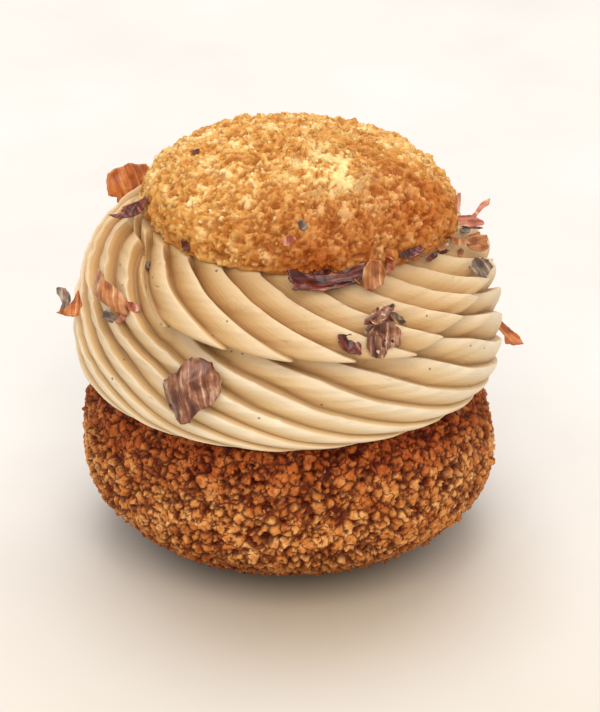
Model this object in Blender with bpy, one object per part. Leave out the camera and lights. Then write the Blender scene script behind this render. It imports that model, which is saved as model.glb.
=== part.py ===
"""Filled choux bun: a crackled base, a tall piped cream filling, a crackled lid and skin flakes.

Units are metres, +Z is up, the bun rests on z = 0 and its axis is the world Z axis.
Angles run counter-clockwise from +X as seen from above; the front is at 270 degrees.
"""
import math
import random
from collections import namedtuple

import bmesh
import bpy
from mathutils import Matrix, Vector, noise
from mathutils.bvhtree import BVHTree

MM = 0.001
CLEAR = 0.30 * MM              # air left between neighbouring pieces

# base bun
BASE_R = 34.6 * MM             # widest radius
BASE_MID_Z = 15.8 * MM         # height of the widest line
BASE_UP = 27.0 * MM            # half height above the widest line
BASE_DOWN = 16.4 * MM          # half height below it
BASE_POWER = 2.3
BASE_LOW_POWER = 2.15          # the underside is a little rounder than the shoulder
BASE_TOP_Z = 29.7 * MM         # level where the bun is sliced
BASE_BLOCKS = 436              # crust blocks on the whole puff before slicing

# cream
CREAM_BOTTOM_Z = BASE_TOP_Z + CLEAR
CREAM_TOP_Z = 57.4 * MM
CREAM_PROFILE = ((33.0, 30.4), (34.6, 32.6), (35.3, 37.5), (34.7, 44.0), (32.8, 50.0),
                 (29.4, 54.7), (25.0, 57.4))          # radius, height in mm, crest line
TOP_LEAN = math.radians(2.6)   # the top of the cream and the lid dip towards +X
RIDGE_DEPTH = 1.65 * MM
UPPER_RIDGES = 26
LOWER_RIDGES = 22
UPPER_PHASE = 254.2            # angle of one groove of the upper coil at 55.7 mm
LOWER_PHASE = 244.0            # angle of one groove of the lower coil at 44 mm
UPPER_ROWS = 6
LOWER_ROWS = 11
# How far the upper coil hangs over the lower one, in mm, by the angle round the bun.
LIP = ((-160.0, 1.8), (-78.0, 1.8), (-48.0, 1.4), (-22.0, 0.8), (20.0, 0.5), (60.0, 0.9),
       (110.0, 1.8), (200.0, 1.8))

# lid
LID_R = 26.0 * MM
LID_EDGE = 1.6 * MM            # height of the widest line above the slice
LID_DOME = 10.8 * MM
LID_SHIFT = 1.6 * MM
LID_POWER = 1.98
LID_BLOCKS = 222

FLAKE_THICK = 0.55 * MM

# twist of the ridges with height: (height mm, degrees)
UPPER_TWIST = ((57.6, 0.0), (55.8, 9.5), (53.6, 18.0), (52.0, 24.0), (49.0, 35.0), (43.0, 55.0))
LOWER_TWIST = ((57.4, -24.0), (53.0, -13.0), (49.8, -5.0), (47.6, 1.5), (43.5, 19.0),
               (39.0, 34.0), (34.0, 53.0), (29.0, 71.0))
# lower edge of the upper coil: (angle, mm)
SEAM = ((-160.0, 50.8), (-134.0, 50.4), (-125.0, 49.9), (-118.0, 49.4), (-88.0, 47.3),
        (-70.0, 46.6), (-55.0, 45.8), (-50.0, 46.7), (-42.0, 47.9), (-34.0, 48.8), (-23.0, 49.9),
        (-12.0, 50.0), (60.0, 49.4), (110.0, 50.0), (150.0, 50.8), (200.0, 50.8))
# share of the upper coil that stands out of the lower one, by the angle its ridges start from
UPPER_SHOWS = ((-160.0, 0.0), (-149.5, 0.0), (-147.5, 1.0), (70.0, 1.0), (130.0, 0.0), (200.0, 0.0))


def clear_scene():
    for obj in list(bpy.data.objects):
        bpy.data.objects.remove(obj, do_unlink=True)
    for coll in list(bpy.data.collections):
        bpy.data.collections.remove(coll)


def lerp_table(x, table):
    if x <= table[0][0]:
        return table[0][1]
    for (x0, y0), (x1, y1) in zip(table, table[1:]):
        if x <= x1:
            return y0 + (y1 - y0) * (x - x0) / (x1 - x0)
    return table[-1][1]


def smooth(a, b, x):
    t = min(1.0, max(0.0, (x - a) / (b - a)))
    return t * t * (3 - 2 * t)


def srgb(hex_code):
    rgb = [int(hex_code[i:i + 2], 16) / 255 for i in (1, 3, 5)]
    return [c / 12.92 if c <= 0.04045 else ((c + 0.055) / 1.055) ** 2.4 for c in rgb] + [1.0]


def material(name, hex_code, roughness, coat=0.0):
    mat = bpy.data.materials.new(name)
    mat.use_nodes = True
    bsdf = mat.node_tree.nodes["Principled BSDF"]
    bsdf.inputs["Base Color"].default_value = srgb(hex_code)
    bsdf.inputs["Roughness"].default_value = roughness
    bsdf.inputs["Coat Weight"].default_value = coat
    mat.diffuse_color = srgb(hex_code)
    return mat


def make_object(name, bm, coll, mat):
    bmesh.ops.recalc_face_normals(bm, faces=bm.faces)
    mesh = bpy.data.meshes.new(name)
    bm.to_mesh(mesh)
    bm.free()
    mesh.materials.append(mat)
    mesh.polygons.foreach_set("use_smooth", [True] * len(mesh.polygons))
    obj = bpy.data.objects.new(name, mesh)
    coll.objects.link(obj)
    return obj


# ---------------------------------------------------------------- crackled crust

def puff_point(direction, radius, mid_z, up, down, powers, lump):
    """Point of an uneven superellipsoid in the given direction."""
    flat = math.hypot(direction.x, direction.y)
    half, power = (up, powers[0]) if direction.z >= 0 else (down, powers[1])
    k = (flat ** power + abs(direction.z) ** power) ** (-1.0 / power)
    uneven = 1.0 + lump * noise.noise(direction * 1.7 + Vector((3.1, 0.4, 7.7)))
    scale = radius * k * uneven
    return Vector((direction.x * scale, direction.y * scale,
                   mid_z + direction.z * half * k * uneven))


def sphere_cells(count, jitter, seed):
    """Cells of a spherical Voronoi pattern as lists of unit directions."""
    rng = random.Random(seed)
    golden = math.pi * (3 - math.sqrt(5))
    bm = bmesh.new()
    step = jitter / math.sqrt(count)
    for i in range(count):
        z = 1 - 2 * (i + 0.5) / count
        r = math.sqrt(1 - z * z)
        p = Vector((r * math.cos(golden * i), r * math.sin(golden * i), z))
        p += Vector((rng.uniform(-step, step), rng.uniform(-step, step), rng.uniform(-step, step)))
        bm.verts.new(p.normalized())
    bmesh.ops.convex_hull(bm, input=bm.verts)
    bmesh.ops.triangulate(bm, faces=bm.faces)
    bm.verts.ensure_lookup_table()
    bm.faces.ensure_lookup_table()
    bm.faces.index_update()
    corners = [f.calc_center_median().normalized() for f in bm.faces]
    cells = []
    for v in bm.verts:
        axis = v.co.normalized()
        side = axis.orthogonal().normalized()
        other = axis.cross(side)
        ring = [f.index for f in v.link_faces]
        ring.sort(key=lambda n: math.atan2(corners[n].dot(other), corners[n].dot(side)))
        cells.append(ring)
    bm.free()
    return corners, cells


def crust(corners, cells, shape, crack_width, crack_depth, seed):
    """Crumbly blocks: every cell is a raised, slightly tilted block between open cracks."""
    rng = random.Random(seed)
    bm = bmesh.new()
    low = [bm.verts.new(shape(c)) for c in corners]
    for ring in cells:
        border = [low[i] for i in ring]
        centre = sum((v.co for v in border), Vector()) / len(border)
        normal = Vector()
        for a, b in zip(border, border[1:] + border[:1]):
            normal += (a.co - centre).cross(b.co - centre)
        normal.normalize()
        rise = crack_depth * rng.uniform(0.5, 1.4)
        lean = Vector((rng.uniform(-1, 1), rng.uniform(-1, 1), rng.uniform(-1, 1))) * 0.17
        inner = []
        for v in border:
            arm = v.co - centre
            keep = max(0.35, 1.0 - crack_width * rng.uniform(0.6, 1.6) / max(arm.length, 1e-6))
            inner.append(bm.verts.new(centre + arm * keep + normal * (rise + arm.dot(lean))))
        for i in range(len(border)):
            j = (i + 1) % len(border)
            bm.faces.new((border[i], border[j], inner[j]))
            bm.faces.new((border[i], inner[j], inner[i]))
        bm.faces.new(inner)
    bmesh.ops.triangulate(bm, faces=[f for f in bm.faces if len(f.verts) > 3])
    return bm


def slice_flat(bm, height, keep_below):
    """Cut the body on a level plane and close the cut with a flat face."""
    for v in bm.verts:
        if abs(v.co.z - height) < 0.3 * MM:
            v.co.z = height
    geom = bm.verts[:] + bm.edges[:] + bm.faces[:]
    bmesh.ops.bisect_plane(bm, geom=geom, dist=1e-6, plane_co=(0, 0, height), plane_no=(0, 0, 1),
                           clear_outer=keep_below, clear_inner=not keep_below)
    flat = [f for f in bm.faces if all(abs(v.co.z - height) < 1e-7 for v in f.verts)]
    bmesh.ops.delete(bm, geom=flat, context="FACES")
    bmesh.ops.holes_fill(bm, edges=[e for e in bm.edges if e.is_boundary], sides=0)
    bmesh.ops.triangulate(bm, faces=[f for f in bm.faces if len(f.verts) > 3])


def base_bun(coll):
    def shape(d):
        return puff_point(d, BASE_R - 0.6 * MM, BASE_MID_Z, BASE_UP, BASE_DOWN,
                          (BASE_POWER, BASE_LOW_POWER), 0.035)
    corners, cells = sphere_cells(BASE_BLOCKS, 1.3, 11)
    bm = crust(corners, cells, shape, 0.42 * MM, 1.0 * MM, 5)
    slice_flat(bm, BASE_TOP_Z, True)
    slice_flat(bm, 0.0, False)
    return make_object("base", bm, coll, material("baked_base_crust", "#a9693a", 0.62))


def lid_bun(coll):
    def shape(d):
        p = puff_point(d, LID_R - 0.4 * MM, LID_EDGE, LID_DOME, LID_DOME,
                       (LID_POWER, LID_POWER), 0.05)
        p.z = min(p.z, p.z * 0.25 + 9.6 * MM)
        return p
    corners, cells = sphere_cells(LID_BLOCKS, 1.3, 23)
    bm = crust(corners, cells, shape, 0.36 * MM, 0.7 * MM, 8)
    slice_flat(bm, 0.0, False)
    place = Matrix.Translation((LID_SHIFT, 0, CREAM_TOP_Z + CLEAR + 0.05 * MM
                                - LID_SHIFT * math.tan(TOP_LEAN)))
    bmesh.ops.transform(bm, matrix=place @ Matrix.Rotation(TOP_LEAN, 4, "Y"), verts=bm.verts)
    return make_object("lid", bm, coll, material("golden_lid_crust", "#d29a4e", 0.6))


# ---------------------------------------------------------------- piped cream

def cream_radius(z):
    table = sorted((h * MM, r * MM) for r, h in CREAM_PROFILE)
    return lerp_table(z, table)


def cream_normal(z):
    """Outward direction of the profile as (radial, vertical)."""
    step = 1.5 * MM
    slope = (cream_radius(z + step) - cream_radius(z - step)) / (2 * step)
    length = math.hypot(1, slope)
    return 1 / length, -slope / length


def twist(z, table, reference):
    rows = sorted(table)
    return lerp_table(z / MM, rows) - lerp_table(reference, rows)


def seam_height(angle):
    return lerp_table((angle + 160.0) % 360.0 - 160.0, SEAM) * MM


def upper_shows(angle, z):
    z = max(z, seam_height(angle))
    start = angle - twist(z, UPPER_TWIST, 55.7)
    return lerp_table((start + 160.0) % 360.0 - 160.0, UPPER_SHOWS)


def ridge(f, z):
    """Height of a ridge across its width: crisp groove, short flank, round crest, long flank."""
    sharp = math.sin(math.pi / 2 * f / 0.26) ** 0.9 if f < 0.26 else 1 - ((f - 0.26) / 0.74) ** 1.55
    even = math.sin(math.pi * min(1.0, f ** 0.78)) ** 0.8
    blend = smooth(41 * MM, 33 * MM, z)
    return sharp * (1 - blend) + even * blend


def coil_ring(columns, phase, table, reference, row_z, offset, depth):
    """One ring of points round the coil; row_z and offset are functions of the angle."""
    ring = []
    for turn, f, size in columns:
        base_angle = phase + turn
        angle = base_angle
        for _ in range(4):
            z = row_z(angle)
            angle = base_angle + twist(z, table, reference)
        z = row_z(angle)
        radial, vertical = cream_normal(z)
        out = offset(angle, z) - depth(z) * size * (1 - ridge(f, z))
        uneven = 0.35 * MM * noise.noise(Vector((math.cos(math.radians(angle)),
                                                 math.sin(math.radians(angle)), z * 40)))
        r = cream_radius(z) + (out + uneven) * radial
        a = math.radians(angle)
        x, y = r * math.cos(a), r * math.sin(a)
        zz = z + out * vertical
        zz -= math.tan(TOP_LEAN) * x * smooth(44 * MM, 57.4 * MM, z)
        ring.append(Vector((x, y, zz)))
    return ring


def ridge_columns(count, seed):
    """Angles of the grid columns: every ridge has a groove, a flank, a crest and a back."""
    rng = random.Random(seed)
    pitch = 360.0 / count
    bounds = [k * pitch + rng.uniform(-0.07, 0.07) * pitch for k in range(count)]
    bounds.append(bounds[0] + 360.0)
    sizes = [rng.uniform(0.85, 1.12) for _ in range(count)]
    columns = []
    for k in range(count):
        for f in (1.0, 0.76, 0.5, 0.27, 0.12):
            width = bounds[k + 1] - bounds[k]
            columns.append((bounds[k] + (1 - f) * width, 0.0 if f == 1.0 else f, sizes[k]))
    return columns


def add_rings(bm, rings):
    made = [[bm.verts.new(p) for p in ring] for ring in rings]
    for above, below in zip(made, made[1:]):
        n = len(above)
        for k in range(n):
            bm.faces.new((above[k], above[(k + 1) % n], below[(k + 1) % n]))
            bm.faces.new((above[k], below[(k + 1) % n], below[k]))
    return made


def cap(bm, ring, height):
    centre = sum((v.co for v in ring), Vector()) / len(ring)
    hub = bm.verts.new((centre.x, centre.y, height if height is not None else centre.z))
    for a, b in zip(ring, ring[1:] + ring[:1]):
        bm.faces.new((a, b, hub))


def coil(name, rings, top_height, foot_height):
    """Closed body from the rings of one coil, flat at both ends."""
    bm = bmesh.new()
    made = add_rings(bm, rings)
    cap(bm, made[0], top_height)
    cap(bm, made[-1], foot_height)
    bmesh.ops.recalc_face_normals(bm, faces=bm.faces)
    mesh = bpy.data.meshes.new(name)
    bm.to_mesh(mesh)
    bm.free()
    return bpy.data.objects.new(name, mesh)


def lower_coil():
    columns = ridge_columns(LOWER_RIDGES, 4)
    top = 56.6 * MM

    def ring_at(q):
        def row_z(angle):
            return top + (31.6 * MM - top) * q

        def offset(angle, z):
            seam = seam_height(angle)
            sink = 1.3 * smooth(seam - 5.5 * MM, seam - 0.5 * MM, z)
            sink += 3.0 * smooth(seam - 0.5 * MM, seam + 1.8 * MM, z)
            return -sink * MM * upper_shows(angle, z)

        def depth(z):
            return RIDGE_DEPTH * (0.62 + 0.38 * smooth(31 * MM, 40 * MM, z))
        return coil_ring(columns, LOWER_PHASE, LOWER_TWIST, 44.0, row_z, offset, depth)

    rings = [ring_at(i / LOWER_ROWS) for i in range(LOWER_ROWS + 1)]
    for share, height in ((0.972, 30.45 * MM), (0.93, CREAM_BOTTOM_Z)):
        rings.append([Vector((p.x * share, p.y * share, height)) for p in rings[LOWER_ROWS]])
    return coil("lower_coil", rings, None, CREAM_BOTTOM_Z)


def upper_coil():
    columns = ridge_columns(UPPER_RIDGES, 3)

    def ring_at(q, sunk=0.0, lift=0.0):
        def row_z(angle):
            return CREAM_TOP_Z + (seam_height(angle) - CREAM_TOP_Z) * q + lift

        def offset(angle, z):
            shows = upper_shows(angle, z)
            lip = lerp_table((angle + 160.0) % 360.0 - 160.0, LIP) * MM
            return lip * smooth(0.2, 1.0, q) * shows - 3.0 * MM * (1 - shows) * smooth(0, 0.25, q) - sunk

        def depth(z):
            return 0.0 if sunk else RIDGE_DEPTH
        return coil_ring(columns, UPPER_PHASE, UPPER_TWIST, 55.7, row_z, offset, depth)

    rings = [ring_at(i / UPPER_ROWS) for i in range(UPPER_ROWS + 1)]
    for p in rings[0]:
        p.z = CREAM_TOP_Z - math.tan(TOP_LEAN) * p.x
    rings.append(ring_at(1.0, sunk=6.5 * MM, lift=0.8 * MM))
    return coil("upper_coil", rings, None, 50.0 * MM)


def cream_filling(coll):
    coils = bpy.data.collections.new("coils")
    bpy.context.scene.collection.children.link(coils)
    upper, lower = upper_coil(), lower_coil()
    coils.objects.link(upper)
    coll.objects.link(lower)
    join = lower.modifiers.new("join coils", "BOOLEAN")
    join.operation = "UNION"
    join.solver = "EXACT"
    join.object = upper
    graph = bpy.context.evaluated_depsgraph_get()
    mesh = bpy.data.meshes.new_from_object(lower.evaluated_get(graph))
    for obj in (upper, lower):
        bpy.data.objects.remove(obj, do_unlink=True)
    bpy.data.collections.remove(coils)
    bm = bmesh.new()
    bm.from_mesh(mesh)
    bpy.data.meshes.remove(mesh)
    bmesh.ops.triangulate(bm, faces=[f for f in bm.faces if len(f.verts) > 3])
    return make_object("cream", bm, coll, material("praline_cream", "#dcb987", 0.5))


# ---------------------------------------------------------------- skin flakes

START = 9.0                    # mm away from which a flake is lowered onto the cream

# angle and height of the place on the cream; come: elevation the flake is lowered from;
# face: direction and elevation its face looks to (None: flat on the cream); spin in its own plane
Flake = namedtuple("Flake", "name angle height come face length width cup spin tone seed")

FLAKES = (
    Flake("flake_upright_back_left", 141, 46, 90, (262, 20), 8.8, 7.6, 0.20, 70, "orange", 1),
    Flake("flake_pointed_left", 200.3, 57.1, 80, (240, 50), 7.4, 3.4, 0.25, 25, "dark", 2),
    Flake("flake_long_left", 211.7, 50.5, None, None, 8.6, 3.6, 0.30, 112, "orange", 3),
    Flake("flake_outer_left", 190.9, 43.7, None, (262, 30), 6.0, 4.6, 0.30, 40, "orange", 4),
    Flake("flake_shell_front", 247.7, 41.8, None, None, 10.4, 9.0, 0.40, 60, "dark", 5),
    Flake("flake_cluster_a", 293.5, 50.2, None, (280, 10), 8.0, 5.6, 0.45, 70, "dark", 6),
    Flake("flake_cluster_b", 290.8, 50.9, None, (300, 50), 5.6, 4.2, 0.45, 20, "brown", 7),
    Flake("flake_cluster_c", 285.3, 49.3, None, None, 4.6, 4.0, 0.30, 100, "dark", 8),
    Flake("flake_under_lid", 281.5, 56.2, None, None, 12.0, 3.4, 0.25, 4, "dark", 9),
    Flake("flake_glossy_front", 294.7, 55.6, None, (290, 10), 6.4, 4.6, 0.40, 20, "brown", 10),
    Flake("flake_dark_right", 312.2, 56.4, None, None, 5.6, 2.6, 0.25, 20, "dark", 11),
    Flake("flake_pink_right", -9.1, 56.7, 40, (285, 25), 8.0, 3.6, 0.35, 40, "orange", 12),
    Flake("flake_tan_right", -14.8, 54.4, None, (300, 20), 6.4, 4.4, 0.35, 60, "brown", 13),
    Flake("flake_grey_right", 342, 52, 40, (310, 20), 5.2, 4.0, 0.40, 100, "dark", 14),
    Flake("flake_outer_right", 364, 34, None, (280, 35), 5.4, 3.4, 0.35, 150, "orange", 15),
)

TONES = {"orange": ("orange_skin", "#b0602a"), "dark": ("dark_skin", "#5a3328"),
         "brown": ("brown_skin", "#8f5f44")}


def flake_solid(spec):
    """A thin cupped shard with a torn outline; both faces carry the same triangles."""
    rng = random.Random(100 + spec.seed)
    sectors, rings = 9, 3 if spec.length > 8 else 2
    outline = [1.0 + rng.uniform(-0.24, 0.20) for _ in range(sectors)]
    wave = rng.uniform(0, math.tau)
    sheet = [Vector((0, 0, 0))]
    for j in range(1, rings + 1):
        t = j / rings
        for i in range(sectors):
            a = math.tau * (i + 0.15 * j) / sectors
            reach = t * (1 + (outline[i] - 1) * t)
            x = reach * math.cos(a) * spec.length / 2
            y = reach * math.sin(a) * spec.width / 2
            bend = spec.cup * (x * x / spec.length + 1.6 * y * y / spec.width)
            ripple = 0.28 * t * math.sin(3 * a + wave) * (0.3 + spec.cup)
            sheet.append(Vector((x, y, bend + ripple)))
    tris = [(0, 1 + i, 1 + (i + 1) % sectors) for i in range(sectors)]
    for j in range(rings - 1):
        a0, b0 = 1 + j * sectors, 1 + (j + 1) * sectors
        for i in range(sectors):
            k = (i + 1) % sectors
            tris += [(a0 + i, b0 + i, b0 + k), (a0 + i, b0 + k, a0 + k)]
    bm = bmesh.new()
    half = FLAKE_THICK / MM / 2
    top = [bm.verts.new((p + Vector((0, 0, half))) * MM) for p in sheet]
    low = [bm.verts.new((p - Vector((0, 0, half))) * MM) for p in sheet]
    for a, b, c in tris:
        bm.faces.new((top[a], top[b], top[c]))
        bm.faces.new((low[c], low[b], low[a]))
    rim = [1 + (rings - 1) * sectors + i for i in range(sectors)]
    for a, b in zip(rim, rim[1:] + rim[:1]):
        bm.faces.new((top[a], low[a], low[b]))
        bm.faces.new((top[a], low[b], top[b]))
    return bm


def place_of(spec):
    """Point on the cream and the outward direction there."""
    a = math.radians(spec.angle)
    z = spec.height * MM
    radial, vertical = cream_normal(min(z, 56.2 * MM))
    out = Vector((radial * math.cos(a), radial * math.sin(a), vertical)).normalized()
    r = cream_radius(z)
    return Vector((r * math.cos(a), r * math.sin(a), z)), out


def direction(azimuth, elevation):
    a, e = math.radians(azimuth), math.radians(elevation)
    return Vector((math.cos(e) * math.cos(a), math.cos(e) * math.sin(a), math.sin(e)))


def gap_to(bm, trees):
    """Smallest distance from the flake to the given bodies; zero where it cuts one."""
    points = [v.co for v in bm.verts]
    points += [(e.verts[0].co + e.verts[1].co) / 2 for e in bm.edges]
    points += [f.calc_center_median() for f in bm.faces]
    own = BVHTree.FromBMesh(bm)
    best = 1.0
    for tree in trees:
        if own.overlap(tree):
            return 0.0
        for p in points:
            best = min(best, tree.find_nearest(p)[3])
    return best


def add_flake(spec, coll, mats, trees):
    bm = flake_solid(spec)
    place, out = place_of(spec)
    look = direction(*spec.face) if spec.face else out
    along = Vector((0, 0, 1)).cross(look).normalized()
    frame = Matrix((along, look.cross(along), look)).transposed().to_4x4()
    frame.translation = place
    bmesh.ops.transform(bm, matrix=frame @ Matrix.Rotation(math.radians(spec.spin), 4, "Z"),
                        verts=bm.verts)
    away = direction(spec.angle, spec.come) if spec.come is not None else out
    bmesh.ops.translate(bm, vec=away * START * MM, verts=bm.verts)
    near = CLEAR + 0.05 * MM
    for _ in range(90):
        bmesh.ops.translate(bm, vec=-away * 0.15 * MM, verts=bm.verts)
        if gap_to(bm, trees) < near:
            bmesh.ops.translate(bm, vec=away * 0.15 * MM, verts=bm.verts)
            break
    obj = make_object(spec.name, bm, coll, mats[spec.tone])
    trees.append(tree_of(obj))
    return obj


def tree_of(obj):
    verts = [v.co.copy() for v in obj.data.vertices]
    return BVHTree.FromPolygons(verts, [tuple(p.vertices) for p in obj.data.polygons])


def main():
    clear_scene()
    coll = bpy.data.collections.new("choux_bun")
    bpy.context.scene.collection.children.link(coll)
    bodies = [base_bun(coll), cream_filling(coll), lid_bun(coll)]
    trees = [tree_of(obj) for obj in bodies]
    mats = {tone: material(name, code, 0.42) for tone, (name, code) in TONES.items()}
    for spec in FLAKES:
        add_flake(spec, coll, mats, trees)


main()
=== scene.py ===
# %% [markdown]
# # A filled choux bun
# The bun has three large pieces: a crackled base, a tall swirl of piped cream and a small crackled
# lid. Thin shards of nut skin are stuck on the cream. The solid model gives every place and size;
# the cells below dress it with real crumbs, piped ridges and papery skin.

# %% Load the solid model
import math
import random
from functools import partial

import bpy
import numpy as np
from mathutils import Matrix, Vector, noise
from mathutils.bvhtree import BVHTree


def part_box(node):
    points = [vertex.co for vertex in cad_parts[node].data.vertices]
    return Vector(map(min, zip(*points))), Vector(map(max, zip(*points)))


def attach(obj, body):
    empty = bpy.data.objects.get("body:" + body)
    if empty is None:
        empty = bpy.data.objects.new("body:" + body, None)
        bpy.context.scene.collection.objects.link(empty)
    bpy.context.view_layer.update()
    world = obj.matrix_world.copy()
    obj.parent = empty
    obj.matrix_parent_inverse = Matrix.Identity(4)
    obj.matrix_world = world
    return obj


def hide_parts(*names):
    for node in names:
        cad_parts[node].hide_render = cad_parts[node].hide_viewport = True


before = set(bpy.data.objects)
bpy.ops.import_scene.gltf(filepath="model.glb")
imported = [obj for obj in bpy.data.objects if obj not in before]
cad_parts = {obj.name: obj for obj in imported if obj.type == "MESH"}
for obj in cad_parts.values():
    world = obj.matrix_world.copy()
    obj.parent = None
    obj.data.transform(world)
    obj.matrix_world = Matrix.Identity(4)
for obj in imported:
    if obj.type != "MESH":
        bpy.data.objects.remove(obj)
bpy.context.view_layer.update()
MM = 0.001
print("solid model:", sorted(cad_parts))

# %% [markdown]
# ## Small helpers
# Colours are written as sRGB hex codes, and one function turns them linear for the shader. One
# more function adds a node with its settings and its links, for materials and for Geometry Nodes
# alike, and gives back the output that is wanted. The others set a shader's sockets, and keep what
# a modifier makes as a plain mesh.

# %% Helpers for colours and nodes


def colour(code):
    rgb = [int(code[i:i + 2], 16) / 255 for i in (1, 3, 5)]
    return [c / 12.92 if c <= 0.04045 else ((c + 0.055) / 1.055) ** 2.4 for c in rgb] + [1.0]


MODES = {"MapRange": "interpolation_type", "TexVoronoi": "feature"}


def add(tree, kind, inputs=(), out=0, stops=(), **settings):
    """Adds a node. The kind may end in its mode, as in "Math ADD"; the inputs are values or other
    nodes' outputs, in order or by name or number; stops are the tones of a colour ramp."""
    kind, *mode = kind.split()
    made = tree.nodes.new(kind if "Node" in kind else "ShaderNode" + kind)
    if mode:
        settings[MODES.get(kind, "operation")] = mode[0]
    for key, value in settings.items():
        setattr(made, key, value)
    for key, value in inputs.items() if isinstance(inputs, dict) else enumerate(inputs):
        if isinstance(value, bpy.types.NodeSocket):
            tree.links.new(value, made.inputs[key])
        else:
            made.inputs[key].default_value = value
    while stops and len(made.color_ramp.elements) < len(stops):
        made.color_ramp.elements.new(0.5)
    for n, (place, code) in enumerate(stops):
        element = made.color_ramp.elements[n]
        element.position, element.color = place, colour(code)
    return made if out is None else made.outputs[out]


def set_shader(tree, shader, linked, constants):
    """Links some of a shader's sockets and gives the others a fixed value."""
    for socket, value in linked.items():
        tree.links.new(value, shader.inputs[socket])
    for socket, value in constants.items():
        shader.inputs[socket].default_value = value


# %% Helpers for meshes and smooth steps


def keep_result(obj):
    """Turns what the object's modifiers make into its plain mesh."""
    graph = bpy.context.evaluated_depsgraph_get()
    result = bpy.data.meshes.new_from_object(obj.evaluated_get(graph))
    obj.modifiers.clear()
    old, obj.data = obj.data, result
    bpy.data.meshes.remove(old)
    result.name = obj.name


def smooth(a, b, x):
    t = np.clip((np.asarray(x, float) - a) / (b - a), 0, 1)
    return t * t * (3 - 2 * t)


# %% [markdown]
# ## The puff form
# Choux rises into a rounded, slightly boxy puff. A superellipse turned round the bun's axis gives
# that outline, and slow noise makes it uneven. The surface is laid out in even small squares,
# because the crumbs are pressed into it afterwards and need the same detail everywhere.

# %% A turned puff with even rings


def puff_outline(radius, mid_z, up, down, powers, low_z, high_z, step):
    """Radius and height at even steps along the outline, between the two cuts."""
    t = np.linspace(-math.pi / 2, math.pi / 2, 6001)
    half = np.where(t >= 0, up, down)
    power = np.where(t >= 0, powers[0], powers[1])
    k = (np.abs(np.cos(t)) ** power + np.abs(np.sin(t)) ** power) ** (-1 / power)
    r, z = radius * k * np.cos(t), mid_z + half * k * np.sin(t)
    keep = (z >= low_z) & (z <= high_z)
    r, z = r[keep], z[keep]
    run = np.concatenate([[0], np.cumsum(np.hypot(np.diff(r), np.diff(z)))])
    even = np.linspace(0, run[-1], int(run[-1] / step) + 1)
    return np.interp(even, run, r), np.interp(even, run, z)


def ring_faces(rows, columns):
    """Quads between neighbouring rings, facing outwards when the rings go up."""
    i, j = np.meshgrid(np.arange(rows - 1), np.arange(columns), indexing="ij")
    k = (j + 1) % columns
    quads = np.stack([i * columns + j, i * columns + k, (i + 1) * columns + k, (i + 1) * columns + j], -1)
    return quads.reshape(-1, 4)


def mesh_object(name, points, faces):
    mesh = bpy.data.meshes.new(name)
    mesh.from_pydata([tuple(p) for p in points], [], [tuple(map(int, f)) for f in faces])
    mesh.validate()
    mesh.polygons.foreach_set("use_smooth", [True] * len(mesh.polygons))
    obj = bpy.data.objects.new(name, mesh)
    bpy.context.scene.collection.objects.link(obj)
    return obj


def point_values(obj, name, values):
    layer = obj.data.attributes.new(name, "FLOAT", "POINT")
    layer.data.foreach_set("value", np.asarray(values, np.float32))


def turned_puff(name, r, z, columns, lump):
    """Rings round the axis, closed by a flat cap at each cut, in millimetres until the end."""
    a = np.arange(columns) * math.tau / columns
    uneven = np.array([[1 + lump * noise.noise(Vector((math.cos(t) * rr, math.sin(t) * rr, zz)) * 0.05
                                               + Vector((3.1, 0.4, 7.7)))
                        for t in a[::12]] for rr, zz in zip(r, z)])
    uneven = np.array([np.interp(a, np.append(a[::12], math.tau), np.append(u, u[0])) for u in uneven])
    x = r[:, None] * np.cos(a) * uneven
    y = r[:, None] * np.sin(a) * uneven
    points = np.stack([x, y, np.repeat(z[:, None], columns, 1)], -1).reshape(-1, 3) * MM
    faces = [list(f) for f in ring_faces(len(r), columns)]
    faces.append(list(range(columns))[::-1])
    if r[-1] > 1:
        faces.append([(len(r) - 1) * columns + j for j in range(columns)])
    else:
        points = np.vstack([points, [[0, 0, z[-1] * MM]]])
        last = (len(r) - 1) * columns
        faces += [[last + j, last + (j + 1) % columns, len(points) - 1] for j in range(columns)]
    return mesh_object(name, points, faces)


# Widest radius, the height it lies at, and how far the whole form reaches up and down from there.
BASE_R, BASE_MID, BASE_UP, BASE_DOWN = 33.8, 15.8, 27.0, 16.4
BASE_POWERS = 2.3, 2.15        # of the superellipse, above and below the widest part
BASE_TOP = 29.7                # where it is sliced
BASE_STEP, BASE_COLUMNS, BASE_UNEVEN = 0.32, 670, 0.035
r, z = puff_outline(BASE_R, BASE_MID, BASE_UP, BASE_DOWN, BASE_POWERS, 0.0, BASE_TOP, BASE_STEP)
base = turned_puff("base_crust", r, z, BASE_COLUMNS, BASE_UNEVEN)
heights = np.array([v.co.z for v in base.data.vertices]) / MM
point_values(base, "skin", smooth(0.1, 1.3, heights) * (1 - smooth(BASE_TOP - 0.5, BASE_TOP, heights)))
point_values(base, "cut", 1 - smooth(0.0, 0.25, heights))
print("base form:", len(base.data.vertices), "points")

LID_R, LID_EDGE, LID_DOME = 25.6, 1.6, 10.8     # radius, height of its rim, height of its dome
LID_POWERS = 1.98, 1.98
LID_STEP, LID_COLUMNS, LID_UNEVEN = 0.30, 520, 0.05
r, z = puff_outline(LID_R, LID_EDGE, LID_DOME, LID_DOME, LID_POWERS, 0.0, LID_EDGE + LID_DOME - 0.01,
                    LID_STEP)
lid = turned_puff("lid_crust", r, z, LID_COLUMNS, LID_UNEVEN)
x, y, heights = np.array([v.co for v in lid.data.vertices]).T / MM
turned = np.degrees(np.arctan2(y, x)) % 360
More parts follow.
